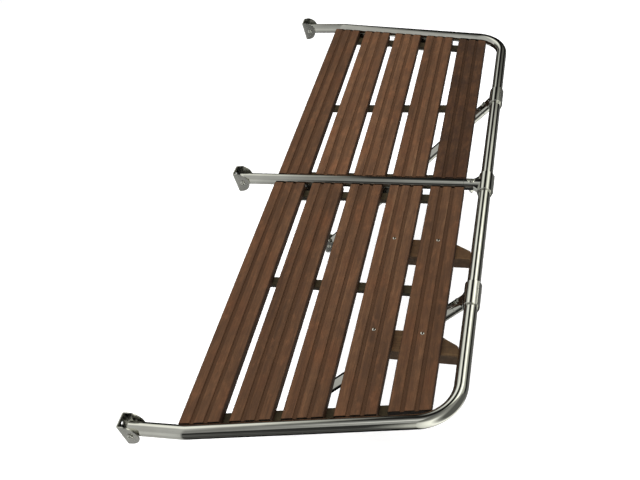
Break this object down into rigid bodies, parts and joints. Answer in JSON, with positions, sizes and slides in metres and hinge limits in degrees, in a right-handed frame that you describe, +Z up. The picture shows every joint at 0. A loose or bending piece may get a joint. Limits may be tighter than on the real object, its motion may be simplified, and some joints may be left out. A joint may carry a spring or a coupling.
{
  "type": "folding swim platform",
  "caption": "Boat transom swim platform: grooved wooden slats in a bent stainless tube frame with a middle tube, hinged on brackets and propped by tube struts on rail clamps.",
  "frame": {"origin": "on the mounting face of the middle hinge bracket, level with the hinge pin axis", "axes": "+X outboard from the transom, +Y along the transom, +Z up; the deck is level and the transom face leans with its lower edge outboard"},
  "size_m": [0.5821, 1.3696, 0.5687],
  "materials": {
    "polished_stainless": "mirror-polished stainless steel",
    "satin_stainless": "satin stainless steel plate",
    "teak": "oiled, slightly weathered reddish brown hardwood",
    "plug": "dark moulded tube plug"
  },
  "bodies": {
    "transom_brackets": {"far_hinge_bracket": "satin_stainless", "far_hinge_pin": "polished_stainless", "middle_hinge_bracket": "satin_stainless", "middle_hinge_pin": "polished_stainless", "near_hinge_bracket": "satin_stainless", "near_hinge_pin": "polished_stainless"},
    "platform": {"far_arm_bearer": "teak", "far_arm_lug_1": "satin_stainless", "far_arm_lug_3": "satin_stainless", "far_arm_plug": "plug", "far_inner_bearer": "teak", "far_middle_bearer": "teak", "far_slat_1": "teak", "far_slat_2": "teak", "far_slat_3": "teak", "far_slat_4": "teak", "far_slat_5": "teak", "frame_tube": "polished_stainless", "inner_block_screw_1": "polished_stainless", "inner_block_screw_2": "polished_stainless", "inner_ladder_block": "teak", "middle_clamp_bolt": "polished_stainless", "middle_clamp_hinge_pin": "satin_stainless", "middle_clamp_lower": "polished_stainless", "middle_clamp_nut": "polished_stainless", "middle_clamp_upper": "polished_stainless", "middle_lug_1": "satin_stainless", "middle_lug_3": "satin_stainless", "middle_tube": "polished_stainless", "middle_tube_plug": "plug", "near_arm_bearer": "teak", "near_arm_lug_1": "satin_stainless", "near_arm_lug_3": "satin_stainless", "near_arm_plug": "plug", "near_inner_bearer": "teak", "near_middle_bearer": "teak", "near_slat_1": "teak", "near_slat_2": "teak", "near_slat_3": "teak", "near_slat_4": "teak", "near_slat_5": "teak", "outer_block_screw_1": "polished_stainless", "outer_block_screw_2": "polished_stainless", "outer_ladder_block": "teak"},
    "near_strut": {"near_clamp_bolt": "polished_stainless", "near_clamp_hinge_pin": "satin_stainless", "near_clamp_lower": "polished_stainless", "near_clamp_nut": "polished_stainless", "near_clamp_upper": "polished_stainless", "near_strut": "polished_stainless"},
    "far_strut": {"far_clamp_bolt": "polished_stainless", "far_clamp_hinge_pin": "satin_stainless", "far_clamp_lower": "polished_stainless", "far_clamp_nut": "polished_stainless", "far_clamp_upper": "polished_stainless", "far_strut": "polished_stainless"},
    "near_foot": {"near_foot_bracket": "satin_stainless", "near_foot_pin": "polished_stainless"},
    "far_foot": {"far_foot_bracket": "satin_stainless", "far_foot_pin": "polished_stainless"}
  },
  "joints": [
    {"name": "platform_hinge", "type": "hinge", "parent": "transom_brackets", "child": "platform", "pos_m": [0.0173, 0, 0], "axis": [0, -1, 0], "range_deg": [0, 95]},
    {"name": "near_strut_swivel", "type": "hinge", "parent": "platform", "child": "near_strut", "pos_m": [0.5625, -0.315, 0], "axis": [0, 1, 0], "range_deg": [0, 11]},
    {"name": "far_strut_swivel", "type": "hinge", "parent": "platform", "child": "far_strut", "pos_m": [0.5625, 0.315, 0], "axis": [0, 1, 0], "range_deg": [0, 11]},
    {"name": "near_foot_pivot", "type": "hinge", "parent": "near_strut", "child": "near_foot", "pos_m": [0.07357, -0.315, -0.518], "axis": [0, -1, 0], "range_deg": [-50, 130]},
    {"name": "far_foot_pivot", "type": "hinge", "parent": "far_strut", "child": "far_foot", "pos_m": [0.07357, 0.315, -0.518], "axis": [0, -1, 0], "range_deg": [-50, 130]}
  ],
  "couplings": [
    {"joint": "near_strut_swivel", "follows": "platform_hinge", "ratio": 0.115},
    {"joint": "far_strut_swivel", "follows": "platform_hinge", "ratio": 0.115}
  ]
}
